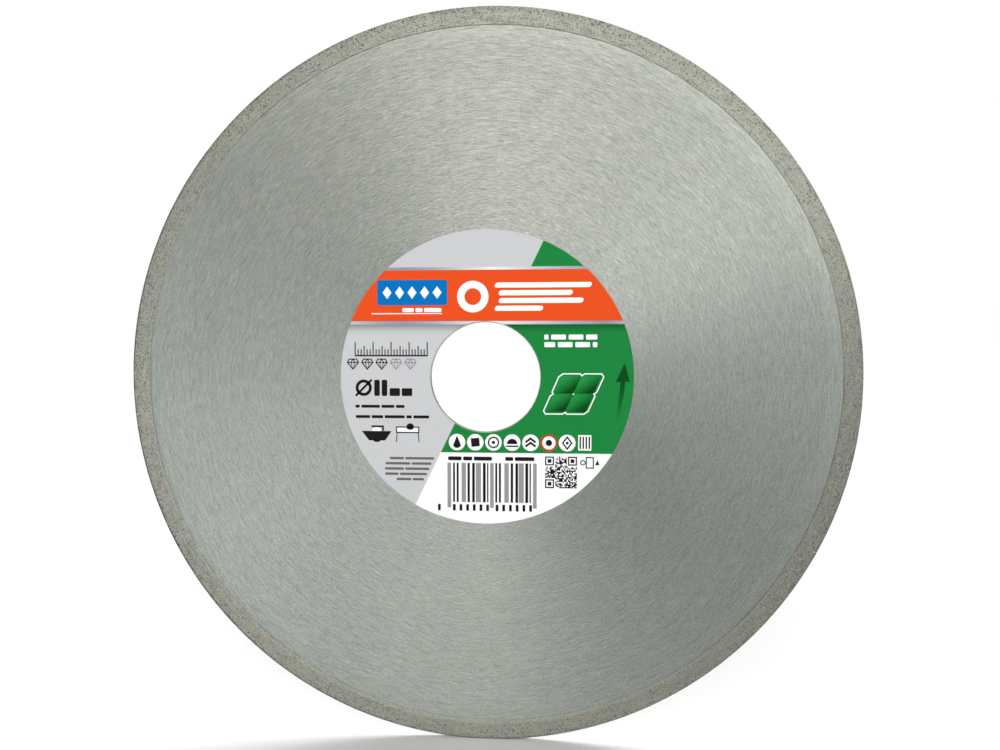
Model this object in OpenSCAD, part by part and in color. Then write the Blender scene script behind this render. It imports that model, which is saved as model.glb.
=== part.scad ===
// Continuous-rim diamond blade for tile saws and angle grinders.
// A flat steel disc carries a sintered diamond rim at its edge and a round
// self-adhesive label on its front face.
//
// Frame: the bore's axis is the Y axis and the origin is the bore's centre at
// half the disc's thickness. The label faces -Y, +X is to its right, +Z is up.

/* [Blade] */
// Outer diameter of the whole blade
blade_d = 200; // [180:1:230]
// Radial height of the diamond rim
rim_h = 5; // [4:0.5:10]
// Thickness of the diamond rim
rim_t = 1.9; // [1.7:0.1:2.4]
// Thickness of the steel disc
core_t = 1.5; // [1.2:0.1:1.6]

/* [Bore] */
// Diameter of the bore
bore_d = 30; // [20:0.1:30]
// Chamfer on both edges of the bore
bore_chamfer = 0.15; // [0.05:0.05:0.3]

/* [Rim joint] */
// Radial height of the disc's tongue inside the rim
tongue_h = 1.5; // [0.5:0.1:2.5]
// Thickness of the tongue
tongue_t = 0.8; // [0.5:0.1:1]
// Chamfer on the rim's two outer corners
rim_chamfer = 0.2; // [0.1:0.05:0.4]
// Chamfer on the rim's two inner corners, where it steps down to the disc
step_chamfer = 0.1; // [0.05:0.05:0.15]

/* [Label] */
// Outer diameter of the label
label_d = 80.4; // [60:0.1:100]
// Diameter of the label's hole
label_hole_d = 30.4; // [30.4:0.1:34]
// Thickness of the adhesive layer
adhesive_t = 0.04; // [0.02:0.01:0.06]
// Thickness of the printed film
film_t = 0.11; // [0.06:0.01:0.15]

/* [Diamond grit] */
// Edge length of one diamond crystal
grit_size = 0.4; // [0.3:0.05:0.5]
// How far a crystal's corner stands out of the rim
grit_proud = 0.09; // [0.05:0.01:0.12]
// Crystals that show on each side of the rim
grit_per_side = 48; // [12:4:60]
// Crystals that show on the cutting edge
grit_on_edge = 36; // [12:4:60]

/* [Hidden] */
$fn = 180;

blade_r = blade_d / 2;
seat_r = blade_r - rim_h;
tongue_r = seat_r + tongue_h;
bore_r = bore_d / 2;

// Half the diagonal of a crystal that stands on one corner
grit_reach = grit_size * sqrt(3) / 2;
// Tilt that puts a cube's long diagonal along Z
corner_tilt = atan(sqrt(2));
// Turn between neighbouring crystals, so that no two line up
golden_turn = 137.508;
// Radial band in which the crystals on the sides lie
grit_band_in = seat_r + 0.8;
grit_band_out = blade_r - 0.9;
// Half the width of the band in which the crystals on the edge lie
grit_edge_half = rim_t / 2 - 0.55;

// Turns a shape built around Z so that its top faces -Y.
module upright() {
    rotate([90, 0, 0]) children();
}

// Flat ring from z_low to z_high.
module flat_ring(r_in, r_out, z_low, z_high) {
    translate([0, 0, z_low])
        difference() {
            cylinder(h = z_high - z_low, r = r_out);
            translate([0, 0, -1]) cylinder(h = z_high - z_low + 2, r = r_in);
        }
}

// Half-section of the steel disc: chamfered bore inside, tongue outside.
module core_section() {
    t = core_t / 2;
    k = tongue_t / 2;
    polygon([
        [bore_r, -t + bore_chamfer], [bore_r + bore_chamfer, -t],
        [seat_r, -t], [seat_r, -k], [tongue_r, -k],
        [tongue_r, k], [seat_r, k], [seat_r, t],
        [bore_r + bore_chamfer, t], [bore_r, t - bore_chamfer]
    ]);
}

// Half-section of the rim: groove for the tongue inside, chamfers outside.
module rim_section() {
    t = rim_t / 2;
    k = tongue_t / 2;
    polygon([
        [seat_r, -k], [seat_r, -t + step_chamfer], [seat_r + step_chamfer, -t],
        [blade_r - rim_chamfer, -t], [blade_r, -t + rim_chamfer],
        [blade_r, t - rim_chamfer], [blade_r - rim_chamfer, t],
        [seat_r + step_chamfer, t], [seat_r, t - step_chamfer],
        [seat_r, k], [tongue_r, k], [tongue_r, -k]
    ]);
}

// One crystal: a cube on its corner, with that corner grit_proud above Z = 0.
module crystal(turn) {
    translate([0, 0, grit_proud - grit_reach])
        rotate([0, 0, turn])
            rotate([0, corner_tilt, 0])
                rotate([0, 0, 45])
                    cube(grit_size, center = true);
}

// Place of crystal i of n across a band, spread evenly without repeating.
function spread(i, low, high) = low + (high - low) * ((i * 0.618034 + 0.5) % 1);

// Crystals on one side of the rim: side is 1 for the front, -1 for the back.
module side_crystals(side) {
    for (i = [0 : grit_per_side - 1])
        rotate([0, 0, i * 360 / grit_per_side + side * 1.7])
            translate([spread(i, grit_band_in, grit_band_out), 0, side * rim_t / 2])
                mirror([0, 0, side > 0 ? 0 : 1])
                    crystal(i * golden_turn);
}

// Crystals on the cutting edge.
module edge_crystals() {
    for (i = [0 : grit_on_edge - 1])
        rotate([0, 0, (i + 0.5) * 360 / grit_on_edge])
            translate([blade_r, 0, spread(i, -grit_edge_half, grit_edge_half)])
                rotate([0, 90, 0])
                    crystal(i * golden_turn);
}

module all_crystals() {
    side_crystals(1);
    side_crystals(-1);
    edge_crystals();
}

// Tempered steel disc with the bore, and the tongue that the rim grips.
module steel_core() {
    color([0.70, 0.72, 0.70])
        upright() rotate_extrude() core_section();
}

// Sintered metal ring that holds the diamonds, with a pocket for each crystal.
module diamond_rim() {
    color([0.58, 0.58, 0.54])
        upright()
            difference() {
                rotate_extrude() rim_section();
                all_crystals();
            }
}

// Diamond crystals that show on the rim's sides and edge.
module diamond_grit() {
    color([0.86, 0.85, 0.72])
        upright() all_crystals();
}

// Adhesive layer between the disc and the printed film.
module label_adhesive() {
    color([0.90, 0.89, 0.84])
        upright()
            flat_ring(label_hole_d / 2, label_d / 2, core_t / 2, core_t / 2 + adhesive_t);
}

// Printed film of the label.
module label_film() {
    color([0.82, 0.83, 0.84])
        upright()
            flat_ring(label_hole_d / 2, label_d / 2,
                core_t / 2 + adhesive_t, core_t / 2 + adhesive_t + film_t);
}

steel_core();
diamond_rim();
diamond_grit();
label_adhesive();
label_film();
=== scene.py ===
"""Continuous-rim diamond blade: a ground steel disc, a sintered rim full of diamond grit, and a round
printed label. The blade stands on its edge with the bore's axis along Y, and the label faces -Y.

Lengths below are in millimetres in the blade's own frame, and MM turns them into metres.
Angles round the disc are in degrees, anticlockwise from its right as seen from the label's side.
On the label, a point is (x, z): x to the right and z up, from the bore's centre.
"""

import math
import random

import bpy
from mathutils import Euler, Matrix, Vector


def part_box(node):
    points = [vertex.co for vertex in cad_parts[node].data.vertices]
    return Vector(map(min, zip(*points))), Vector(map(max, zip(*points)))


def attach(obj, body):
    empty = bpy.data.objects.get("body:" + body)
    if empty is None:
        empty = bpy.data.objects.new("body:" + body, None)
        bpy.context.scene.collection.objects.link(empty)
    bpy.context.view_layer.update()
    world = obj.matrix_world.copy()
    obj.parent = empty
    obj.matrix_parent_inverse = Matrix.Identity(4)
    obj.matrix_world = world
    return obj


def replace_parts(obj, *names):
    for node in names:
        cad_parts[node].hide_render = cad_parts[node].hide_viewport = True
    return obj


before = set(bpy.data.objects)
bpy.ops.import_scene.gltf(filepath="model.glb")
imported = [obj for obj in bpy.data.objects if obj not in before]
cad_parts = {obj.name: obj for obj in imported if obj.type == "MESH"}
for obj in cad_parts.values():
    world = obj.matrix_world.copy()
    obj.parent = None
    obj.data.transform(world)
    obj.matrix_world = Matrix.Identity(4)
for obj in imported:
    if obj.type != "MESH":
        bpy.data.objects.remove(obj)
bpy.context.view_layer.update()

MM = 0.001


def in_mm(corner):
    return corner / MM


# ---------------------------------------------------------------- sizes, from the frame

_, core_high = map(in_mm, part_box("steel_core"))
rim_low, rim_high = map(in_mm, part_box("diamond_rim"))
film_low, film_high = map(in_mm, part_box("label_film"))

BLADE_R = rim_high.x
CORE_FACE = core_high.y
RIM_FACE = rim_high.y
LABEL_R = film_high.x
FILM_BACK = -film_high.y
FILM_FACE = -film_low.y
FLOOR_Z = rim_low.z

# Two sizes that a box doesn't show: the rim's radial height, and the radius of the label's hole
RIM_H = 5.0
LABEL_HOLE_R = 15.2

# Radius at which the disc ends and the rim begins
SEAT_R = BLADE_R - RIM_H


# ---------------------------------------------------------------- mesh helpers


def make_object(name, verts, faces, material, tones=None):
    """A mesh object from vertices in millimetres. tones is one number per vertex, for its material."""
    mesh = bpy.data.meshes.new(name)
    mesh.from_pydata([[c * MM for c in v] for v in verts], [], faces)
    if tones is not None:
        layer = mesh.attributes.new("tone", "FLOAT", "POINT")
        layer.data.foreach_set("value", tones)
    mesh.validate()
    mesh.materials.append(material)
    obj = bpy.data.objects.new(name, mesh)
    bpy.context.scene.collection.objects.link(obj)
    return obj


def shade_smooth(obj, angle_deg):
    """Smooth shading, with edges sharper than angle_deg kept."""
    obj.data.polygons.foreach_set("use_smooth", [True] * len(obj.data.polygons))
    obj.data.set_sharp_from_angle(angle=math.radians(angle_deg))


def finish_piece(obj):
    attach(obj, "root")
    return obj


def dress(node, material):
    """Gives a CAD node a new material."""
    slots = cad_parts[node].data.materials
    slots.clear()
    slots.append(material)


# ---------------------------------------------------------------- flat shapes on the label


def arc(cx, cz, rx, rz, start_deg, end_deg, steps=16):
    """Points along an elliptical arc."""
    turn = [math.radians(start_deg + (end_deg - start_deg) * i / steps) for i in range(steps + 1)]
    return [(cx + rx * math.cos(t), cz + rz * math.sin(t)) for t in turn]


def disc(cx, cz, r, steps=48):
    return arc(cx, cz, r, r, 0, 360 * (steps - 1) / steps, steps - 1)


def box_points(x0, z0, x1, z1):
    """Rectangle from its low to its high corner."""
    return [(x0, z0), (x1, z0), (x1, z1), (x0, z1)]


def rounded_box(x0, z0, x1, z1, r, slant=0.0, corner_steps=6):
    """Rectangle with round corners; slant moves the top to the right, per unit of height."""
    points = (
        arc(x1 - r, z0 + r, r, r, -90, 0, corner_steps)
        + arc(x1 - r, z1 - r, r, r, 0, 90, corner_steps)
        + arc(x0 + r, z1 - r, r, r, 90, 180, corner_steps)
        + arc(x0 + r, z0 + r, r, r, 180, 270, corner_steps)
    )
    return [(x + slant * (z - z0), z) for x, z in points]


def rhombus(cx, cz, wide, tall):
    return [(cx, cz - tall / 2), (cx + wide / 2, cz), (cx, cz + tall / 2), (cx - wide / 2, cz)]


def moved(points, dx, dz, size=1.0):
    """The points at size times their own size, and then moved."""
    return [(dx + x * size, dz + z * size) for x, z in points]


# A mitre's normal is never taken as shorter than the root of this, so that sharp corners don't run out
SHARPEST_MITRE = 0.3


def stroke(points, width, closed=False):
    """Four-sided pieces of a line of that width along points, with mitred corners."""
    n = len(points)
    half = width / 2
    left, right = [], []
    for i, (x, z) in enumerate(points):
        before = points[i - 1] if i or closed else None
        after = points[(i + 1) % n] if i < n - 1 or closed else None
        sides = []
        for a, b in ((before, (x, z)), ((x, z), after)):
            if a is not None and b is not None:
                length = math.dist(a, b)
                sides.append(((a[1] - b[1]) / length, (b[0] - a[0]) / length))
        nx = sum(s[0] for s in sides) / len(sides)
        nz = sum(s[1] for s in sides) / len(sides)
        reach = half / max(nx * nx + nz * nz, SHARPEST_MITRE)
        left.append((x + nx * reach, z + nz * reach))
        right.append((x - nx * reach, z - nz * reach))
    ends = range(n if closed else n - 1)
    return [[right[i], right[(i + 1) % n], left[(i + 1) % n], left[i]] for i in ends]


def annulus(r_in, r_out, steps=360):
    """A ring round the bore's centre, in four-sided pieces."""
    turn = [2 * math.pi * i / steps for i in range(steps)]
    edge = [[(r * math.cos(t), r * math.sin(t)) for t in turn] for r in (r_in, r_out)]
    return [
        [edge[0][i], edge[1][i], edge[1][(i + 1) % steps], edge[0][(i + 1) % steps]]
        for i in range(steps)
    ]


def clip(polygon, nx, nz, limit):
    """The part of a convex polygon where nx * x + nz * z is at most limit."""
    kept = []
    for i, b in enumerate(polygon):
        a = polygon[i - 1]
        da, db = nx * a[0] + nz * a[1] - limit, nx * b[0] + nz * b[1] - limit
        if da * db < 0:
            t = da / (da - db)
            kept.append((a[0] + t * (b[0] - a[0]), a[1] + t * (b[1] - a[1])))
        if db <= 0:
            kept.append(b)
    return kept if len(kept) > 2 else []


def above(z):
    return (0, -1, -z)


def below(z):
    return (0, 1, z)


def label_zone(*half_planes):
    """The label's ring cut to some half-planes, each (nx, nz, limit)."""
    pieces = annulus(LABEL_HOLE_R, LABEL_R)
    for plane in half_planes:
        pieces = [c for c in (clip(p, *plane) for p in pieces) if c]
    return pieces


# ---------------------------------------------------------------- printed inks

# Thickness of one printed ink, and how deep an ink sits in the one under it
INK = 0.008
INK_SINK = 0.001
# Printed layers, counted from the film: the coloured fields, the marks on them, and the signs on marks
FIELD, MARK, SIGN = 1, 2, 3
# Decimals to which two points of a shape count as one
SAME_POINT_DIGITS = 4


class Ink:
    """Collects flat shapes and makes them one thin closed mesh, which stands out towards -Y."""

    def __init__(self, name, material):
        self.name, self.material = name, material
        self.verts, self.faces, self.tones = [], [], []

    def add(self, polygons, low, high, tone=None):
        """Polygons run anticlockwise. low and high are heights in front of the disc's middle."""
        index, count = {}, 0
        top, outline = [], set()
        for polygon in polygons:
            ids = []
            for x, z in polygon:
                key = (round(x, SAME_POINT_DIGITS), round(z, SAME_POINT_DIGITS))
                if key not in index:
                    index[key] = count
                    count += 1
                if not ids or ids[-1] != index[key]:
                    ids.append(index[key])
            if ids[0] == ids[-1]:
                ids.pop()
            if len(ids) > 2:
                top.append(ids)
                outline.update(zip(ids, ids[1:] + ids[:1]))
        start = len(self.verts)
        for height in (high, low):
            self.verts += [(x, -height, z) for x, z in index]
            self.tones += [tone(x, z) if tone else 0.0 for x, z in index]
        self.faces += [[start + i for i in ids] for ids in top]
        self.faces += [[start + count + i for i in reversed(ids)] for ids in top]
        for a, b in sorted(outline):
            if (b, a) not in outline:
                self.faces.append([start + b, start + a, start + count + a, start + count + b])

    def layer(self, polygons, level, tone=None):
        """The same, in the printed layer of that number."""
        low = FILM_FACE + (level - 1) * INK - (INK_SINK if level > 1 else 0)
        self.add(polygons, low, FILM_FACE + level * INK, tone)

    def build(self, slot="label_print"):
        obj = make_object(self.name, self.verts, self.faces, self.material, self.tones)
        return finish_piece(obj)


def print_field(name, material, *zones):
    """One ink that covers some zones of the label."""
    field = Ink(name, material)
    for zone in zones:
        field.layer(label_zone(*zone), FIELD)
    field.build()


# ---------------------------------------------------------------- material helpers


class Graph:
    """Short calls for building a material's nodes."""

    def __init__(self, name):
        self.material = bpy.data.materials.new(name)
        self.material.use_nodes = True
        self.tree = self.material.node_tree
        self.shader = self.tree.nodes["Principled BSDF"]
        self._place = None
        self._radius = None

    def feed(self, socket, value):
        """Links a socket to another, or sets it to a plain value."""
        if isinstance(value, bpy.types.NodeSocket):
            self.tree.links.new(value, socket)
        else:
            socket.default_value = value

    def surface(self, name, value):
        """The same for the shader's socket of that name."""
        self.feed(self.shader.inputs[name], value)

    def node(self, kind, **settings):
        made = self.tree.nodes.new(kind)
        for name, value in settings.items():
            setattr(made, name, value)
        return made

    def math(self, operation, a, b=0.0, clamp=False):
        made = self.node("ShaderNodeMath", operation=operation, use_clamp=clamp)
        for socket, value in zip(made.inputs, (a, b)):
            self.feed(socket, value)
        return made.outputs[0]

    def total(self, first, *others):
        for other in others:
            first = self.math("ADD", first, other)
        return first

    def vector(self, x, y, z):
        made = self.node("ShaderNodeCombineXYZ")
        for socket, value in zip(made.inputs, (x, y, z)):
            self.feed(socket, value)
        return made.outputs[0]

    def place_mm(self):
        """The point's place in the blade's frame, in millimetres, as (x, y, z) sockets."""
        if self._place is None:
            where = self.node("ShaderNodeTexCoord").outputs["Object"]
            scaled = self.node("ShaderNodeVectorMath", operation="SCALE")
            self.feed(scaled.inputs[0], where)
            self.feed(scaled.inputs["Scale"], 1 / MM)
            split = self.node("ShaderNodeSeparateXYZ")
            self.feed(split.inputs[0], scaled.outputs[0])
            self._place = split.outputs
        return self._place

    def radius(self):
        """Distance of the point from the bore's axis, in millimetres."""
        if self._radius is None:
            x, _, z = self.place_mm()
            flat = self.node("ShaderNodeVectorMath", operation="LENGTH")
            self.feed(flat.inputs[0], self.vector(x, 0.0, z))
            self._radius = flat.outputs["Value"]
        return self._radius

    def noise(self, where=None, scale=1.0, detail=2.0, roughness=0.5):
        """Noise from 0 to 1 at a point, which is the surface's own place in millimetres unless given."""
        made = self.node("ShaderNodeTexNoise")
        self.feed(made.inputs["Vector"], self.vector(*self.place_mm()) if where is None else where)
        self.feed(made.inputs["Scale"], scale)
        self.feed(made.inputs["Detail"], detail)
        self.feed(made.inputs["Roughness"], roughness)
        return made.outputs["Fac"]

    def swing(self, noise, amount):
        """Noise from 0 to 1 turned into a change about zero."""
        return self.math("MULTIPLY", self.math("SUBTRACT", noise, 0.5), amount)

    def swell(self, lobes, peak_deg, amount):
        """A smooth change round the disc that peaks in so many places, one of them at peak_deg."""
        x, _, z = self.place_mm()
        turn = self.math("SUBTRACT", self.math("ARCTAN2", z, x), math.radians(peak_deg))
        return self.math("MULTIPLY", self.math("COSINE", self.math("MULTIPLY", turn, lobes)), amount)

    def step(self, value, low, high, to_low=0.0, to_high=1.0):
        """A smooth step from to_low to to_high as value goes from low to high."""
        made = self.node("ShaderNodeMapRange", interpolation_type="SMOOTHSTEP")
        for socket, given in zip(made.inputs, (value, low, high, to_low, to_high)):
            self.feed(socket, given)
        return made.outputs[0]

    def beyond(self, edge_in, edge_out):
        """0 inside the radius edge_in, 1 outside the radius edge_out."""
        return self.step(self.radius(), edge_in, edge_out)

    def within(self, edge_in, edge_out):
        """1 inside the radius edge_in, 0 outside the radius edge_out."""
        return self.step(self.radius(), edge_in, edge_out, 1.0, 0.0)

    def tone(self):
        """The number that the mesh holds for each vertex."""
        return self.node("ShaderNodeAttribute", attribute_name="tone").outputs["Fac"]

    def colour(self, rgb):
        made = self.node("ShaderNodeRGB")
        self.feed(made.outputs[0], (*rgb, 1))
        return made.outputs[0]

    def ramp(self, value, stops):
        """Colour along stops, each (position, (r, g, b))."""
        made = self.node("ShaderNodeValToRGB")
        self.feed(made.inputs[0], value)
        points = made.color_ramp.elements
        while len(points) < len(stops):
            points.new(0.5)
        for point, (position, colour) in zip(points, stops):
            point.position = position
            point.color = (*colour, 1)
        return made.outputs[0]

    def mix(self, factor, a, b, blend="MIX"):
        made = self.node("ShaderNodeMix", data_type="RGBA", blend_type=blend)
        self.feed(made.inputs["Factor"], factor)
        for socket, value in ((made.inputs["A"], a), (made.inputs["B"], b)):
            self.feed(socket, (*value, 1) if isinstance(value, tuple) else value)
        return made.outputs["Result"]

    def shade(self, colour, factor):
        """colour times a grey factor."""
        grey = self.node("ShaderNodeCombineColor")
        for socket in grey.inputs:
            self.feed(socket, factor)
        return self.mix(1.0, colour, grey.outputs[0], "MULTIPLY")

    def bump(self, height, depth_mm, strength=1.0):
        made = self.node("ShaderNodeBump")
        self.feed(made.inputs["Strength"], strength)
        self.feed(made.inputs["Distance"], depth_mm * MM)
        self.feed(made.inputs["Height"], height)
        self.surface("Normal", made.outputs[0])

    def brush_round_the_disc(self, amount, roughness):
        """Anisotropic gloss as from grinding round the disc: reflections spread across the scratches.

        On a flat face that is outwards, and on a wall such as the bore's it is along the axis.
        """
        x, _, z = self.place_mm()
        outward = self.node("ShaderNodeVectorMath", operation="NORMALIZE")
        self.feed(outward.inputs[0], self.vector(x, self.radius(), z))
        self.surface("Tangent", outward.outputs[0])
        self.surface("Anisotropic", amount)
        self.surface("Roughness", roughness)


# Radius at which the patterns round the disc have their true size
ROUND_R = 70.0
# What one unit of a scratch field's seed shifts it by, along the scratches
SEED_SHIFT = 3.7
# How much faster the scratches change through a wall, such as the bore's, than along them
THROUGH_WALL = 5.0


def scratch_field(g, length, width, drift, waves, seed, detail=1.5):
    """Noise drawn out round the disc into scratches of about that length and width.

    The scratches swing in and out by drift as they go round, waves times in a turn, so they cross others.
    """
    x, y, z = g.place_mm()
    radius = g.radius()
    turn = g.math("ADD", g.math("MULTIPLY", g.math("ARCTAN2", z, x), waves), seed)
    across = g.math("ADD", radius, g.math("MULTIPLY", g.math("SINE", turn), drift))
    round_the_disc = g.math("DIVIDE", ROUND_R / length, radius)
    where = g.vector(
        g.math("ADD", g.math("MULTIPLY", x, round_the_disc), seed * SEED_SHIFT),
        g.math("ADD", g.math("MULTIPLY", z, round_the_disc), g.math("MULTIPLY", y, THROUGH_WALL)),
        g.math("DIVIDE", across, width),
    )
    return g.noise(where, detail=detail, roughness=0.6)


# ---------------------------------------------------------------- steel disc

STEEL_COOL = (0.411, 0.446, 0.409)
STEEL_WARM = (0.434, 0.447, 0.402)
STEEL_ROUGHNESS = 0.49
STEEL_ANISOTROPY = 0.95
STEEL_RELIEF = 0.042


def steel_material():
    """Ground steel: fine crossing scratches round the disc, slow changes of tone and tint, and painted light
    and shade round it.
    """
    g = Graph("ground_steel")
    fine = scratch_field(g, length=2.8, width=0.23, drift=0.8, waves=9, seed=1.0)
    leaning = scratch_field(g, length=2.1, width=0.27, drift=1.6, waves=7, seed=2.2)
    crossing = scratch_field(g, length=3.6, width=0.24, drift=1.3, waves=8, seed=5.1)
    broad = scratch_field(g, length=14.0, width=1.4, drift=1.0, waves=5, seed=3.4)
    deep = scratch_field(g, length=4.2, width=0.29, drift=2.0, waves=6, seed=4.3)
    short = scratch_field(g, length=0.42, width=0.28, drift=1.0, waves=5, seed=6.4, detail=0.5)
    clouds = g.noise(scale=0.06, detail=3.0)
    patches = g.noise(scale=0.33)

    # The scratches, with a few deep ones painted brighter as glints
    scratches = g.total(
        g.swing(fine, 0.60),
        g.swing(leaning, 0.50),
        g.swing(crossing, 0.56),
        g.step(deep, 0.66, 0.76, 0.0, 0.35),
    )
    # Painted light in the scratches' contrast: stronger towards the top, weaker towards the lower right
    painted_light_contrast = g.total(0.96, g.swell(1, 110, 0.33), g.swell(2, 74, 0.12))

    # A band at the disc's edge, a little lighter, with painted light at its upper right and painted shade at
    # its lower left, and a thin line of painted light and shade at the rim, lying the same way
    outer_band_and_painted_light = g.math(
        "MULTIPLY", g.beyond(SEAT_R - 4.4, SEAT_R - 3.6), g.math("ADD", g.swell(1, 45, 0.055), 0.02)
    )
    painted_light_and_shade_at_seat = g.math("MULTIPLY", g.beyond(SEAT_R - 0.9, SEAT_R - 0.4), g.swell(1, 52, 0.06))

    shade = g.total(
        1.0,
        g.math("MULTIPLY", scratches, painted_light_contrast),
        g.swing(short, 0.52),
        g.swing(broad, 0.14),
        g.swing(clouds, 0.14),
        # Painted light and shade round the disc: lighter towards the upper left and darker towards the lower
        # right, with a weaker change three times round
        g.swell(1, 119, 0.11),
        g.swell(3, 32, 0.06),
        outer_band_and_painted_light,
        painted_light_and_shade_at_seat,
    )
    warmth = g.total(patches, g.swell(1, 85, 0.135), g.swell(2, 90, 0.07))
    tint = g.mix(g.step(warmth, 0.31, 0.69), STEEL_COOL, STEEL_WARM)
    roughness = g.total(STEEL_ROUGHNESS, g.swing(fine, 0.06), g.swing(clouds, 0.05))
    g.surface("Base Color", g.shade(tint, shade))
    g.surface("Metallic", 1.0)
    g.brush_round_the_disc(STEEL_ANISOTROPY, roughness)
    g.bump(g.total(fine, leaning, crossing, g.math("MULTIPLY", deep, 0.7)), STEEL_RELIEF)
    return g.material


dress("steel_core", steel_material())


# ---------------------------------------------------------------- sintered rim

# Steps round the rim, across its face and across its edge
RIM_STEPS = 1500
FACE_STEPS = 12
EDGE_STEPS = 5
# Chamfers on the outer corners and on the step down to the disc
RIM_CHAMFER = 0.2
STEP_CHAMFER = 0.1
# How far the rim's foot stays clear of the disc's face
FOOT_GAP = 0.02
# The surface's grain, and its pits: how deep they are and how many of its points have one
GRAIN = 0.012
PIT_DEPTH = 0.05
PIT_SHARE = 0.02
# Width of the band at the edge in which the radius is grained too
EDGE_BAND = 0.3


def rim_section():
    """(radius, y) points round the rim's section, from the front step outwards and back."""
    inner, outer = SEAT_R + STEP_CHAMFER, BLADE_R - RIM_CHAMFER
    step_round = 0.3 * STEP_CHAMFER
    corner_round = 0.3 * RIM_CHAMFER
    front = [
        (SEAT_R, -CORE_FACE + FOOT_GAP),
        (SEAT_R, -RIM_FACE + STEP_CHAMFER),
        (SEAT_R + step_round, -RIM_FACE + step_round),
    ]
    front += [(inner + (outer - inner) * i / FACE_STEPS, -RIM_FACE) for i in range(FACE_STEPS + 1)]
    front += [(BLADE_R - corner_round, -RIM_FACE + corner_round)]
    half = RIM_FACE - RIM_CHAMFER
    edge = [(BLADE_R, -half + 2 * half * i / EDGE_STEPS) for i in range(EDGE_STEPS + 1)]
    back = [(radius, -y) for radius, y in reversed(front)]
    return front + edge + back


def worn(rng, radius, y):
    """A point of the section with its grain and perhaps a pit, unless it is on the step to the disc."""
    grain = rng.gauss(0, GRAIN)
    pit = PIT_DEPTH if rng.random() < PIT_SHARE else 0.0
    if radius < SEAT_R + STEP_CHAMFER:
        return radius, y
    depth = y - math.copysign(pit - grain, y) if radius < BLADE_R else y
    return (radius + grain - pit if radius > BLADE_R - EDGE_BAND else radius), depth


def sintered_rim():
    """Vertices and faces of the whole rim."""
    rng = random.Random(11)
    section = rim_section()
    n = len(section)
    verts, faces = [], []
    for i in range(RIM_STEPS):
        t = 2 * math.pi * i / RIM_STEPS
        for point in section:
            r, y = worn(rng, *point)
            verts.append((r * math.cos(t), y, r * math.sin(t)))
    for i in range(RIM_STEPS):
        a, b = i * n, (i + 1) % RIM_STEPS * n
        for k in range(n):
            m = (k + 1) % n
            faces.append((a + k, a + m, b + m, b + k))
    return verts, faces


RIM_TAN = (0.350, 0.347, 0.290)
RIM_GREY = (0.326, 0.336, 0.295)
RIM_ROUGHNESS = 0.5
RIM_ANISOTROPY = 0.75
RIM_RELIEF = 0.04


def rim_material():
    """Sintered metal: grain and dark specks, painted light and shade round it and at its step, and a darker
    outer edge, partly painted shade.
    """
    g = Graph("sintered_matrix")
    grain = g.noise(scale=3.1, detail=1.5, roughness=0.6)
    specks = g.noise(scale=2.7, detail=1.0)
    patches = g.noise(scale=0.45)
    streaks = scratch_field(g, length=3.0, width=0.45, drift=0.5, waves=5, seed=3.0)
    # Painted light in the contrast of grain, streaks and specks: they stand out more towards the upper left
    painted_light_contrast = g.math("ADD", g.swell(1, 130, 0.18), 0.82)

    # Dark specks, with more of them towards the edge
    more_outside = g.step(g.radius(), BLADE_R - 3.0, BLADE_R - 0.3, 0.0, 0.05)
    dark = g.math("MULTIPLY", g.step(g.total(specks, more_outside), 0.59, 0.69, 0.0, 0.46), painted_light_contrast)

    # Painted shadow above and painted light below along the rim's step to the disc, and a painted highlight
    # just outside it at the bottom
    painted_step_shade_and_light = g.math(
        "MULTIPLY", g.within(SEAT_R + 0.06, SEAT_R + 0.14), g.math("ADD", g.swell(1, 263, 0.34), 0.13)
    )
    painted_highlight_ring = g.math("MULTIPLY", g.beyond(SEAT_R + 0.1, SEAT_R + 0.3), g.within(SEAT_R + 0.6, SEAT_R + 0.9))
    painted_step_highlight = g.math("MULTIPLY", painted_highlight_ring, g.math("MAXIMUM", g.swell(1, 255, 0.16), 0.0))

    # The last millimetre, a little darker; painted shade along the left of the face's outer edge and on the
    # outer bevel, deepest at the lower left
    worn_edge = g.step(g.radius(), BLADE_R - 1.4, BLADE_R - 0.3, 0.0, -0.06)
    painted_edge_shade = g.math(
        "MULTIPLY", g.beyond(BLADE_R - 0.62, BLADE_R - 0.38), g.math("MINIMUM", g.swell(1, 10, 0.44), 0.0)
    )
    painted_bevel_shade = g.math(
        "MULTIPLY", g.beyond(BLADE_R - 0.32, BLADE_R - 0.14), g.math("SUBTRACT", g.swell(1, 36, 0.18), 0.22)
    )

    shade = g.total(
        1.0,
        g.math("MULTIPLY", g.total(g.swing(grain, 1.6), g.swing(streaks, 0.8)), painted_light_contrast),
        # Painted light and shade round the rim: lighter towards the upper left, with weaker changes two and
        # three times round
        g.swell(1, 149, 0.105),
        g.swell(2, 102, 0.03),
        g.swell(3, 33, 0.10),
        worn_edge,
        painted_step_shade_and_light,
        painted_step_highlight,
        painted_edge_shade,
        painted_bevel_shade,
    )
    shade = g.math("MULTIPLY", shade, g.math("SUBTRACT", 1.0, dark))
    tint = g.mix(g.step(patches, 0.35, 0.65), RIM_TAN, RIM_GREY)
    g.surface("Base Color", g.shade(tint, shade))
    g.surface("Metallic", 1.0)
    g.brush_round_the_disc(RIM_ANISOTROPY, g.math("ADD", RIM_ROUGHNESS, g.math("MULTIPLY", dark, 0.4)))
    g.bump(g.math("SUBTRACT", grain, dark), RIM_RELIEF, strength=0.6)
    return g.material


rim = make_object("rim_matrix", *sintered_rim(), rim_material())
shade_smooth(rim, angle_deg=40)
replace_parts(rim, "diamond_rim")
finish_piece(rim)


# ---------------------------------------------------------------- diamond grit

GRIT_COUNT = 2600
GRIT_SIZE = (0.22, 0.36)
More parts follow.
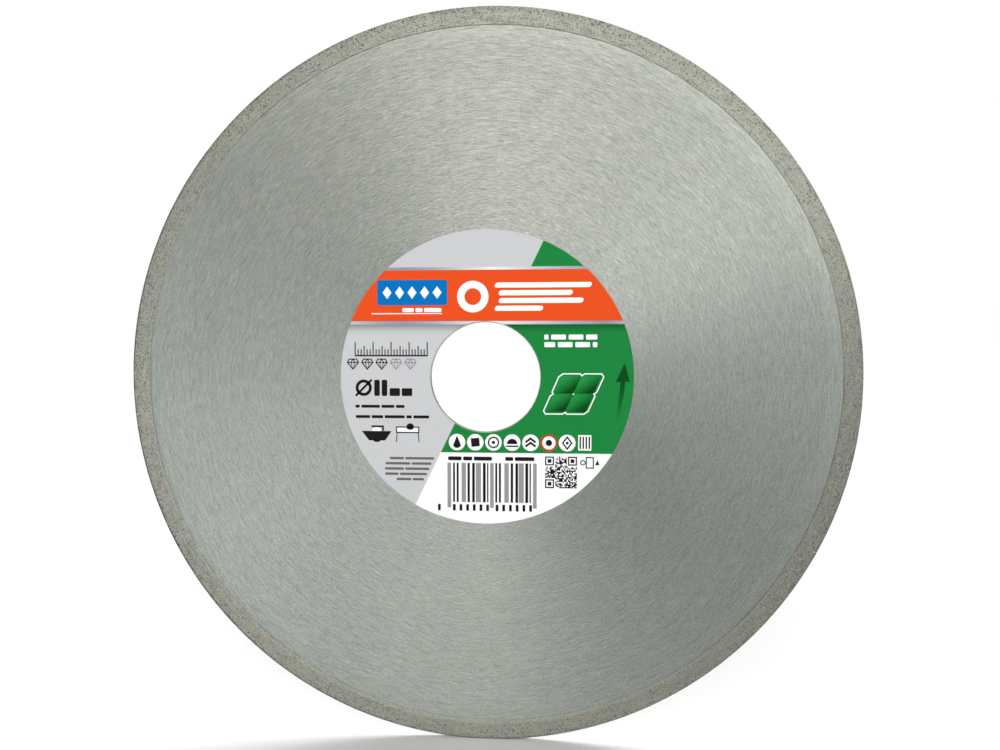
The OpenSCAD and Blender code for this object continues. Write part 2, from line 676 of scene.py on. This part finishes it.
# How far a crystal stands out, as a share of its size
GRIT_PROUD = (0.15, 0.3)
# Share of the crystals that are on the two faces. The others are on the edge.
GRIT_ON_FACES = 0.84
# Bare strips: on the faces at the disc and at the edge, and on the edge at each face
BARE_INSIDE = 0.4
BARE_OUTSIDE = 0.35
BARE_ON_EDGE = 0.3
# Under 1, this crowds the crystals on the faces towards the edge
CROWDING = 0.8

# Corners of a cube of side 2 that is cut back to the middle of its edges
CRYSTAL_CORNERS = [
    Vector(p)
    for p in (
        (1, 1, 0), (1, -1, 0), (-1, 1, 0), (-1, -1, 0),
        (1, 0, 1), (1, 0, -1), (-1, 0, 1), (-1, 0, -1),
        (0, 1, 1), (0, 1, -1), (0, -1, 1), (0, -1, -1),
    )
]


def crystal_faces():
    """The crystal's six squares and eight triangles, as rings of corners that share a plane."""
    normals = [Vector(v) for v in ((1, 0, 0), (-1, 0, 0), (0, 1, 0), (0, -1, 0), (0, 0, 1), (0, 0, -1))]
    normals += [Vector((a, b, c)) for a in (1, -1) for b in (1, -1) for c in (1, -1)]
    faces = []
    for normal in normals:
        far = max(p.dot(normal) for p in CRYSTAL_CORNERS)
        ring = [i for i, p in enumerate(CRYSTAL_CORNERS) if p.dot(normal) > far - 1e-6]
        centre = sum((CRYSTAL_CORNERS[i] for i in ring), Vector()) / len(ring)
        first = (CRYSTAL_CORNERS[ring[0]] - centre).normalized()
        second = normal.normalized().cross(first)

        def turn(i):
            arm = CRYSTAL_CORNERS[i] - centre
            return math.atan2(arm.dot(second), arm.dot(first))

        faces.append(sorted(ring, key=turn))
    return faces


def crystal_centre(rng, size):
    """A random place on the rim for a crystal of that size, a little sunk into the surface."""
    t = rng.uniform(0, 2 * math.pi)
    sunk = size / 2 - rng.uniform(*GRIT_PROUD) * size
    if rng.random() < GRIT_ON_FACES:
        radius = SEAT_R + BARE_INSIDE + (RIM_H - BARE_INSIDE - BARE_OUTSIDE) * rng.random() ** CROWDING
        side = 1 if rng.random() < 0.5 else -1
        y = side * (RIM_FACE - sunk)
    else:
        radius = BLADE_R - sunk
        y = rng.uniform(-1, 1) * (RIM_FACE - BARE_ON_EDGE)
    return Vector((radius * math.cos(t), y, radius * math.sin(t)))


def diamond_grit():
    """Vertices, faces and tones of all crystals."""
    rng = random.Random(5)
    faces_of_one = crystal_faces()
    verts, faces, tones = [], [], []
    for _ in range(GRIT_COUNT):
        size = rng.uniform(*GRIT_SIZE)
        centre = crystal_centre(rng, size)
        tones += [rng.random()] * len(CRYSTAL_CORNERS)
        turn = Euler([rng.uniform(0, 2 * math.pi) for _ in range(3)]).to_matrix()
        start = len(verts)
        verts += [tuple(centre + turn @ p * (size / 2)) for p in CRYSTAL_CORNERS]
        faces += [[start + i for i in ring] for ring in faces_of_one]
    return verts, faces, tones


CRYSTAL_TONES = [
    (0.0, (0.055, 0.055, 0.045)),
    (0.5, (0.12, 0.12, 0.095)),
    (0.75, (0.28, 0.26, 0.19)),
    (1.0, (0.62, 0.58, 0.42)),
]


def grit_material():
    """Clear to dark yellowish crystals."""
    g = Graph("diamond_crystals")
    cloud = g.swing(g.noise(scale=4.0), 0.2)
    g.surface("Base Color", g.ramp(g.math("ADD", g.tone(), cloud), CRYSTAL_TONES))
    g.surface("Roughness", 0.18)
    g.surface("IOR", 2.0)
    return g.material


verts, faces, tones = diamond_grit()
grit = make_object("diamond_crystals", verts, faces, grit_material(), tones)
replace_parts(grit, "diamond_grit")
finish_piece(grit)


# ---------------------------------------------------------------- label: colours

# Light that the studio throws on the label, and the share of it that comes back as gloss
STUDIO_LIGHT = 1.11
STUDIO_GLOSS = 0.004


def srgb(r, g, b):
    """Linear colour from 0 to 255 display values."""
    return tuple((c / 255 / 12.92) if c <= 10 else ((c / 255 + 0.055) / 1.055) ** 2.4 for c in (r, g, b))


def shown_as(r, g, b):
    """Base colour of an ink that the studio's light shows as these display values."""
    return tuple(max(c - STUDIO_GLOSS, 0.0) / STUDIO_LIGHT for c in srgb(r, g, b))


PAPER = srgb(250, 250, 250)
GLUE = srgb(225, 222, 208)
GREY = shown_as(209, 210, 212)
ORANGE = shown_as(241, 85, 36)
GREEN = shown_as(34, 137, 66)
DARK_GREEN = shown_as(0, 80, 30)
BLUE = shown_as(0, 119, 194)
BLACK = shown_as(34, 32, 35)
PALE_INK = shown_as(159, 159, 162)
SOFT_INK = shown_as(110, 108, 110)
TILE_LIGHT = shown_as(38, 151, 71)
TILE_DARK = shown_as(0, 72, 27)
RED = shown_as(226, 30, 40)

# The silver stripes' colours by x: brightest near the middle, and duller to both sides
SILVER = [
    (-38.0, shown_as(200, 203, 208)),
    (-30.0, shown_as(163, 174, 186)),
    (-22.0, shown_as(150, 155, 176)),
    (-14.0, shown_as(172, 178, 189)),
    (2.5, shown_as(246, 247, 252)),
    (14.0, shown_as(203, 205, 214)),
    (32.5, shown_as(144, 151, 166)),
    (38.0, shown_as(172, 182, 184)),
]

# Edges of the label's bands: the upper stripe, the orange band, the lower stripe and the white corner
STRIPE_TOP = 29.98
BAND_TOP = 29.18
BAND_BOTTOM = 15.25
STRIPE_BOTTOM = 14.35
WHITE_TOP = -20.72
# The slanted border: x = BORDER_X + BORDER_SLANT * z
BORDER_X = -2.17
BORDER_SLANT = 0.488
LEFT = (1, -BORDER_SLANT, BORDER_X)
RIGHT = (-1, BORDER_SLANT, -BORDER_X)

# The soft shadow printed under the lower stripe: its height, and the light left at shares of that
SHADOW_H = 2.8
SHADOW_FADE = ((0.0, 0.44), (0.22, 0.60), (0.45, 0.76), (0.7, 0.92), (1.0, 1.0))

INK_GLOSS = 0.05
INK_RELIEF = 0.01
# How much the film's mottle changes an ink's colour and its roughness
COLOUR_MOTTLE = 0.04
GLOSS_MOTTLE = 0.15


def printed(name, colour, rough=0.5, shadow=False, ramp_mm=None, tone_to=None):
    """A printed surface: its colour with the film's faint mottle, and a slightly uneven gloss.

    shadow darkens it under the lower stripe. ramp_mm gives colours by x instead, each (x, colour).
    tone_to is the colour where the mesh's tone is 1.
    """
    g = Graph(name)
    x, _, z = g.place_mm()
    mottle = g.noise(scale=0.9, detail=3.0)
    dots = g.noise(scale=7.0, detail=1.0)
    base = g.colour(colour)
    if ramp_mm:
        low, high = ramp_mm[0][0], ramp_mm[-1][0]
        share = g.math("DIVIDE", g.math("SUBTRACT", x, low), high - low)
        base = g.ramp(share, [((at - low) / (high - low), shown) for at, shown in ramp_mm])
    if tone_to:
        base = g.mix(g.tone(), base, tone_to)
    if shadow:
        down = g.math("SUBTRACT", STRIPE_BOTTOM, z)
        share = g.math("DIVIDE", down, SHADOW_H, clamp=True)
        fade = g.ramp(share, [(at, (light, light, light)) for at, light in SHADOW_FADE])
        base = g.mix(g.math("GREATER_THAN", down, 0.0), base, g.mix(1.0, base, fade, "MULTIPLY"))
    shade = g.total(1.0, g.swing(mottle, COLOUR_MOTTLE), g.swing(dots, COLOUR_MOTTLE))
    g.surface("Base Color", g.shade(base, shade))
    g.surface("Roughness", g.math("ADD", rough, g.swing(mottle, GLOSS_MOTTLE)))
    g.surface("Specular IOR Level", INK_GLOSS)
    g.bump(g.math("ADD", mottle, g.math("MULTIPLY", dots, 0.4)), INK_RELIEF, strength=0.12)
    return g.material


# ---------------------------------------------------------------- label: film, adhesive and fields

film = Ink("label_sheet", printed("white_film", PAPER, 0.45))
film.add(annulus(LABEL_HOLE_R, LABEL_R), FILM_BACK, FILM_FACE)
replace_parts(film.build(), "label_film")

dress("label_adhesive", printed("label_glue", GLUE, 0.35))

print_field(
    "print_grey", printed("grey_ink", GREY, 0.42, shadow=True),
    (LEFT, above(STRIPE_TOP)), (LEFT, below(STRIPE_BOTTOM)),
)
print_field(
    "print_green", printed("green_ink", GREEN, 0.45, shadow=True),
    (RIGHT, above(STRIPE_TOP)), (RIGHT, below(STRIPE_BOTTOM), above(WHITE_TOP)),
)
print_field("print_orange", printed("orange_ink", ORANGE, 0.45), (below(BAND_TOP), above(BAND_BOTTOM)))
print_field(
    "stripe_foil", printed("silver_foil", GREY, 0.3, ramp_mm=SILVER),
    (below(STRIPE_TOP), above(BAND_TOP)), (below(BAND_BOTTOM), above(STRIPE_BOTTOM)),
)


# ---------------------------------------------------------------- label: marks

black = Ink("print_black", printed("black_ink", BLACK, 0.4))
white = Ink("print_white", printed("white_ink", PAPER, 0.45))
pale = Ink("print_pale", printed("pale_ink", PALE_INK, 0.45))
soft = Ink("print_soft", printed("soft_ink", SOFT_INK, 0.45))
blue = Ink("print_blue", printed("blue_ink", BLUE, 0.4))
red = Ink("print_red", printed("red_ink", RED, 0.4))
tile = Ink("print_tiles", printed("tile_ink", TILE_LIGHT, 0.45, tone_to=TILE_DARK))
arrow = Ink("print_arrow", printed("arrow_ink", DARK_GREEN, 0.45, tone_to=GREEN))


# Radius of a bar's corners, as a share of its shorter side
BAR_ROUNDING = 0.3


def bars(ink, x, z, widths, height, gap=0.45):
    """A line of plain rounded bars, from x to the right, standing on z."""
    for width in widths:
        ink.layer([rounded_box(x, z, x + width, z + height, BAR_ROUNDING * min(width, height))], MARK)
        x += width + gap


def rhombus_panel():
    """In the band: a blue panel with a row of rhombi, and a line of bars over a rule under it."""
    left, foot, right, top = -29.9, 19.6, -10.4, 26.55
    blue.layer([rounded_box(left, foot, right, top, 0.8)], MARK)
    first, middle, pitch = -27.1, 23.08, 3.47
    for i in range(5):
        white.layer([rhombus(first + i * pitch, middle, wide=2.5, tall=3.4)], SIGN)
    bars(white, -22.85, 17.75, (3.2, 1.9, 4.8), height=1.1)
    white.layer([box_points(-31.45, 17.2, -11.93, 17.47)], MARK)


def ring_with_lines():
    """In the band: a ring with four lines running off it."""
    ring = disc(-3.4, 21.9, 3.3)
    half, corner_r, slant = 0.7, 0.69, 0.3
    white.layer(stroke(ring, 2.0, closed=True), MARK)
    for z, start, end in ((25.0, 2.4, 28.6), (22.9, 3.5, 23.5), (20.8, 3.5, 26.4), (18.7, 2.4, 15.5)):
        white.layer([rounded_box(start, z - half, end, z + half, corner_r, slant)], MARK)


def fine_scale():
    """A ruler's scale with long, middling and short ticks."""
    left, foot, right, base = -36.25, 5.6, -15.85, 6.0
    pitch, thick = 0.8375, 0.3
    long_top, middling_top, short_top = 9.58, 8.46, 7.56
    black.layer([box_points(left, foot, right, base)], MARK)
    for i in range(25):
        x = left + i * pitch
        top = long_top if i % 6 == 0 else middling_top if i % 3 == 0 else short_top
        black.layer([box_points(x, base, x + thick, top)], MARK)


# A gem's outline and the lines of its facets, with its girdle at z = 0.02
GEM_OUTLINE = [(-1.65, 0.02), (0, -1.93), (1.65, 0.02), (1.12, 1.0), (-1.12, 1.0)]
GEM_FACETS = (
    [(1.65, 0.02), (-1.65, 0.02)],
    [(-0.62, 0.02), (0, -1.93), (0.62, 0.02), (0, 1.0), (-0.62, 0.02)],
)


def gem_row():
    """Five gems, of which three are dark."""
    first, middle, pitch, size = -36.74, 3.9, 4.02, 0.94
    outline_wide, facet_wide = 0.3, 0.24
    for i in range(5):
        ink = black if i < 3 else pale
        place = (first + i * pitch, middle, size)
        ink.layer(stroke(moved(GEM_OUTLINE, *place), outline_wide, closed=True), MARK)
        for facet in GEM_FACETS:
            ink.layer(stroke(moved(facet, *place), facet_wide), MARK)


def diameter_mark():
    """A ring with a line through it, then two tall bars and two low ones."""
    foot, tall_top, low_top = -5.3, -0.85, -3.15
    tall_wide, low_wide = 1.55, 2.9
    black.layer(stroke(disc(-33.75, -3.05, 1.85), 0.85, closed=True), MARK)
    black.layer(stroke([(-36.0, foot), (-31.5, -0.8)], 0.6), MARK)
    for x in (-30.8, -28.7):
        black.layer([rounded_box(x, foot, x + tall_wide, tall_top, 0.4)], MARK)
    for x in (-26.5, -23.1):
        black.layer([rounded_box(x, foot, x + low_wide, low_top, 0.35)], MARK)


def size_lines():
    """Two lines of bars under the diameter mark."""
    height = 0.8
    bars(black, -36.1, -8.57, (1.2, 5.2, 3.6, 2.4), height)
    bars(black, -36.0, -11.43, (4.0, 3.2, 5.6, 1.5, 4.4), height)


def water_tray():
    """A tray with a half-sunk tile and a handle over it."""
    rim_z, base_z, handle_z = -15.0, -17.6, -13.7
    sump = arc(-30.1, base_z, 1.0, 0.45, 180, 360, 8)
    tray = [(-34.35, rim_z), (-32.3, base_z), (-31.2, base_z)]
    tray += sump + [(-29.0, base_z), (-27.8, base_z), (-26.0, rim_z)]
    black.layer([tray], MARK)
    white.layer([arc(-30.15, rim_z, 1.35, 1.1, 0, 180)], MARK)
    black.layer(stroke([(-28.4, rim_z + 0.05), (-28.4, handle_z), (-31.6, handle_z)], 0.5), MARK)


def saw_table():
    """A table on two legs with a round blade in it."""
    left, right, top, under, floor = -24.6, -18.4, -13.85, -15.35, -18.0
    blade_x, blade_r = -20.8, 1.05
    white.layer([box_points(left, under + 0.05, right, top)], MARK)
    black.layer(stroke([(left, top), (left, under), (right, under), (right, top)], 0.32, closed=True), SIGN)
    black.layer([arc(blade_x, top, blade_r, blade_r, 0, 180, 20)], SIGN)
    black.layer([arc(blade_x, top, blade_r, 0.75, 180, 360, 20)], SIGN)
    for leg, foot in ((left + 0.2, left - 0.05), (right - 0.2, right + 0.1)):
        black.layer(stroke([(leg, under - 0.05), (foot, floor)], 0.24), MARK)


def small_lines():
    """Five lines of small bars, two in each."""
    top, pitch, height, gap = -22.78, 1.445, 0.66, 0.4
    ends = ((-26.5, -14.2), (-27.7, -14.9), (-27.9, -15.5), (-27.8, -16.2), (-24.6, -17.0))
    for i, (start, end) in enumerate(ends):
        first = (end - start) * (0.32 + 0.11 * (i * 2 % 3))
        bars(soft, start, top - i * pitch, (first, end - start - first - gap), height, gap)


def tile_wall():
    """Two courses of tiles laid in running bond."""
    left, foot = 16.1, 8.15
    tall, pitch, joint, corner_r = 1.35, 2.05, 0.75, 0.25
    for row, tiles in enumerate(((2.9, 3.95, 3.95, 1.2), (1.1, 3.95, 3.95, 3.0))):
        x, z = left, foot + row * pitch
        for width in tiles:
            white.layer([rounded_box(x, z, x + width, z + tall, corner_r)], MARK)
            x += width + joint


def panel_point(u, v):
    """Point of the leaning tile panel: u runs along its foot and v up its side, from 0 to 1."""
    left, foot, wide, lean, tall = 16.0, -9.68, 11.4, 4.6, 10.3
    return (left + wide * u + lean * v, foot + tall * v)


def panel_tone(cx, cz):
    """Tone that darkens from the top left of a tile to its bottom right, round its centre (cx, cz)."""
    to_right, to_foot = 0.17, 0.24
    return lambda x, z: min(max(0.5 + to_right * (x - cx) - to_foot * (z - cz), 0.0), 1.0)


def panel_tile(u, v, side, steps=8):
    """One tile of the panel as a grid of small faces, so that its tone runs smoothly."""
    at = [
        [panel_point(u + side * i / steps, v + side * k / steps) for i in range(steps + 1)]
        for k in range(steps + 1)
    ]
    return [
        [at[k][i], at[k][i + 1], at[k + 1][i + 1], at[k + 1][i]]
        for k in range(steps)
        for i in range(steps)
    ]


def tile_panel():
    """Four tiles in a white frame with notched sides, and a dot where they meet."""
    starts, side, to_middle = (0.03, 0.508), 0.462, 0.23
    for u in starts:
        for v in starts:
            middle = panel_point(u + to_middle, v + to_middle)
            tile.layer(panel_tile(u, v, side), MARK, panel_tone(*middle))
    half_frame = [(0.05, -0.03), (0.45, -0.03), (0.5, 0.02), (0.55, -0.03), (0.96, -0.03), (1.03, 0.05)]
    half_frame += [(1.03, 0.45), (0.98, 0.5), (1.03, 0.55), (1.03, 0.95)]
    notched = half_frame + [(1 - u, 1 - v) for u, v in half_frame]
    white.layer(stroke([panel_point(*p) for p in notched], 0.32, closed=True), MARK)
    white.layer([disc(*panel_point(0.5, 0.5), 0.22, 16)], SIGN)


def turn_arrow():
    """Arrow for the sense of rotation, which fades out at its tail."""
    fade_top, fade_h = -2.8, 9.6
    tail_wide, tail_z, widening = 0.55, -10.6, 0.01

    def half_width(z):
        return tail_wide + widening * (z - tail_z)

    def fade(x, z):
        return min(max((fade_top - z) / fade_h, 0.0), 1.0)

    arrow.layer([[(35.3, -1.3), (39.1, -1.1), (37.7, 3.85)]], MARK)
    shaft = [(35.3, -13.0), (35.95, -10.2), (36.5, -7.0), (36.95, -4.2), (37.2, -1.2)]
    for (x0, z0), (x1, z1) in zip(shaft, shaft[1:]):
        w0, w1 = half_width(z0), half_width(z1)
        arrow.layer([[(x0 - w0, z0), (x0 + w0, z0), (x1 + w1, z1), (x1 - w1, z1)]], MARK, fade)


def sign_row():
    """White discs with plain signs, one of them in a red ring."""
    places = (-7.8, -2.76, 2.24, 7.35, 12.38, 17.37, 22.32)
    middle, disc_r, sign_size = -17.87, 2.27, 1.15
    ringed, ring_r, ring_wide = 5, 2.05, 0.48
    drop = arc(0, -0.4, 1.0, 1.0, 200, 340, 14) + [(0, 1.6)]
    tilted_square = [(-0.9, -1.1), (1.1, -0.9), (0.9, 1.1), (-1.1, 0.9)]
    target = stroke(disc(0, 0, 1.2, 32), 0.35, closed=True) + [disc(0, 0, 0.4, 16)]
    dome = [arc(0, -0.35, 1.25, 1.25, 0, 180, 20), box_points(-1.5, -1.05, 1.5, -0.7)]
    chevrons = [quad for z in (-0.9, 0.1) for quad in stroke([(-1.2, z), (0, z + 0.9), (1.2, z)], 0.5)]
    dot = disc(0, 0, 0.75, 24)
    gem = stroke(rhombus(0, 0, 2.1, 2.8), 0.35, closed=True) + [disc(0, 0, 0.35, 16)]
    for x, sign in zip(places, ([drop], [tilted_square], target, dome, chevrons, [dot], gem)):
        white.layer([disc(x, middle, disc_r)], MARK)
        for part in sign:
            black.layer([moved(part, x, middle, sign_size)], SIGN)
    red.layer(stroke(disc(places[ringed], middle, ring_r), ring_wide, closed=True), SIGN)


def barred_square():
    """White square with four upright bars."""
    foot, top, inset = -19.85, -15.65, 0.45
    first, pitch, wide = 25.65, 0.82, 0.4
    white.layer([box_points(25.3, foot, 28.85, top)], MARK)
    for i in range(4):
        x = first + i * pitch
        black.layer([box_points(x, foot + inset, x + wide, top - inset)], SIGN)


def ruled_block():
    """In the white corner: two lines of bars over a block of upright lines, and short bars under it."""
    bars(black, -10.25, -22.87, (3.7, 2.5, 5.0), height=1.05)
    bars(black, 5.45, -22.87, (2.2, 5.3), height=1.05)
    left, top, foot, long_foot = -10.45, -23.55, -34.35, -35.85
    groups, pitch = 6, 3.92
    for i in range(groups + 1):
        x = left + i * pitch
        wide = 1.0 + 0.2 * (i % 3)
        pale.layer([box_points(x, foot if i % 3 else long_foot, x + wide, top)], MARK)
        if i < groups:
            first = x + wide + 0.55 - 0.12 * (i % 2)
            second = first + 1.0 + 0.14 * (i * 2 % 3)
            black.layer([box_points(first, foot, first + 0.52 + 0.12 * (i % 3), top)], MARK)
            black.layer([box_points(second, foot, second + 0.36 + 0.18 * ((i + 1) % 3), top)], MARK)
    alone, first_short, short_pitch, middle_gap = -13.1, -8.95, 1.84, 0.75
    short = [first_short + k * short_pitch + (middle_gap if k > 5 else 0) for k in range(12)]
    for x in short + [alone]:
        bars(black, x, -36.75, (0.75,), height=1.8)


def cell_block():
    """A block of small square cells, some filled by chance, with a framed square in three corners."""
    left, foot, cell, count, filled = 16.35, -30.2, 0.345, 25, 0.6
    corner, framed = 8, 7
    rng = random.Random(23)

    def at(column, row):
        return left + column * cell, foot + row * cell

    def inset_square(column, row, share):
        """A framed square's outline, drawn in by that share of its side."""
        x0, z0 = at(column + framed * share, row + framed * share)
        x1, z1 = at(column + framed * (1 - share), row + framed * (1 - share))
        return box_points(x0, z0, x1, z1)

    for row in range(count):
        for column in range(count):
            on_left, on_right = column < corner, column >= count - corner
            on_foot, on_top = row < corner, row >= count - corner
            kept_clear = (on_top and (on_left or on_right)) or (on_foot and on_left)
            if not kept_clear and rng.random() < filled:
                x, z = at(column, row)
                black.layer([box_points(x, z, x + cell, z + cell)], MARK)
    far = count - framed
    for column, row in ((0, 0), (0, far), (far, far)):
        black.layer(stroke(inset_square(column, row, 0.07), cell, closed=True), MARK)
        black.layer([inset_square(column, row, 0.29)], MARK)


def small_shapes():
    """A small ring, an upright rectangle and a triangle beside the block of cells."""
    black.layer(stroke(disc(26.6, -23.15, 0.6, 24), 0.26, closed=True), MARK)
    black.layer(stroke(box_points(27.5, -24.6, 29.4, -21.75), 0.3, closed=True), MARK)
    black.layer([[(29.9, -23.8), (31.05, -23.8), (30.47, -22.35)]], MARK)


MARKS = (
    rhombus_panel, ring_with_lines, fine_scale, gem_row, diameter_mark, size_lines, water_tray, saw_table,
    small_lines, tile_wall, tile_panel, turn_arrow, sign_row, barred_square, ruled_block, cell_block,
    small_shapes,
)
for print_mark in MARKS:
    print_mark()
for ink in (black, white, pale, soft, blue, red, tile, arrow):
    ink.build()


# ---------------------------------------------------------------- floor, light and camera


# The two pale greys between which the floor drifts
FLOOR_DULL = (0.96, 0.96, 0.96)
FLOOR_BRIGHT = (0.98, 0.98, 0.98)


def floor_material():
    g = Graph("pale_floor")
    g.surface("Base Color", g.mix(g.noise(scale=0.01), FLOOR_DULL, FLOOR_BRIGHT))
    g.surface("Roughness", 0.8)
    return g.material


FLOOR_REACH = 6000
corners = [(sx * FLOOR_REACH, sy * FLOOR_REACH, FLOOR_Z) for sx, sy in ((-1, -1), (1, -1), (1, 1), (-1, 1))]
make_object("floor", corners, [(0, 1, 2, 3)], floor_material())

PLAIN_LIGHT = (1.0, 1.0, 1.0)
WARM_LIGHT = (1.0, 0.985, 0.965)
COOL_LIGHT = (0.955, 1.0, 1.0)

# Angle over which each sun's light is spread, in degrees
SUN_SPREAD = 35
# Name, tilt away from straight in front, turn anticlockwise from the right, strength and tint of each sun
SUNS = (
    ("front", 20, 80, 0.51, PLAIN_LIGHT),
    ("right_low", 40, 20, 0.34, COOL_LIGHT),
    ("right_high", 40, 40, 0.45, PLAIN_LIGHT),
    ("top", 40, 91, 0.59, WARM_LIGHT),
    ("left_high", 40, 120, 0.31, PLAIN_LIGHT),
    ("behind", 120, 90, 1.25, PLAIN_LIGHT),
    ("behind_right", 122, 50, 0.9, PLAIN_LIGHT),
    ("behind_left", 122, 130, 0.9, PLAIN_LIGHT),
)


def soft_sun(name, tilt_deg, turn_deg, strength, tint):
    """Even soft light from one direction."""
    lamp = bpy.data.lights.new(name, "SUN")
    lamp.energy = strength
    lamp.color = tint
    lamp.angle = math.radians(SUN_SPREAD)
    obj = bpy.data.objects.new(name, lamp)
    tilt, turn = math.radians(tilt_deg), math.radians(turn_deg)
    towards = Vector((math.sin(tilt) * math.cos(turn), -math.cos(tilt), math.sin(tilt) * math.sin(turn)))
    obj.rotation_euler = towards.to_track_quat("Z", "Y").to_euler()
    bpy.context.scene.collection.objects.link(obj)


def box_light(name, place, size, strength, tint):
    """A square light that faces the bore's centre. place and size are in metres."""
    lamp = bpy.data.lights.new(name, "AREA")
    lamp.size = size
    lamp.energy = strength
    lamp.color = tint
    obj = bpy.data.objects.new(name, lamp)
    obj.location = place
    obj.rotation_euler = (-obj.location).to_track_quat("-Z", "Y").to_euler()
    bpy.context.scene.collection.objects.link(obj)


for sun in SUNS:
    soft_sun(*sun)
box_light("box_light", place=(-0.42, -0.52, 0.0), size=0.35, strength=0.29, tint=COOL_LIGHT)

# Strength of the even light from all round the blade
WORLD_FILL = 0.062


def studio_world():
    """Faint even light from all round, and plain white behind everything."""
    world = bpy.data.worlds.new("studio")
    world.use_nodes = True
    tree = world.node_tree
    fill = tree.nodes["Background"]
    fill.inputs["Strength"].default_value = WORLD_FILL
    fill.inputs["Color"].default_value = (*COOL_LIGHT, 1)
    seen = tree.nodes.new("ShaderNodeBackground")
    seen.inputs["Color"].default_value = (1, 1, 1, 1)
    seen.inputs["Strength"].default_value = 1.0
    rays = tree.nodes.new("ShaderNodeLightPath")
    choose = tree.nodes.new("ShaderNodeMixShader")
    tree.links.new(rays.outputs["Is Camera Ray"], choose.inputs[0])
    tree.links.new(fill.outputs[0], choose.inputs[1])
    tree.links.new(seen.outputs[0], choose.inputs[2])
    tree.links.new(choose.outputs[0], tree.nodes["World Output"].inputs["Surface"])
    return world


bpy.context.scene.world = studio_world()
bpy.context.scene.view_settings.view_transform = "Standard"

# The camera's place and the point in the middle of its picture
CAMERA_AT = Vector((24.73, -238.59, 8.02))
CAMERA_AIM = Vector((4.02, -0.75, 0.56))
CAMERA_LENS = 31.55
CAMERA_SENSOR = 36

camera = bpy.data.objects.new("camera", bpy.data.cameras.new("camera"))
camera.data.lens = CAMERA_LENS
camera.data.sensor_width = CAMERA_SENSOR
camera.data.clip_start = 0.01
camera.location = CAMERA_AT * MM
camera.rotation_euler = (CAMERA_AIM - CAMERA_AT).to_track_quat("-Z", "Y").to_euler()
bpy.context.scene.collection.objects.link(camera)
bpy.context.scene.camera = camera
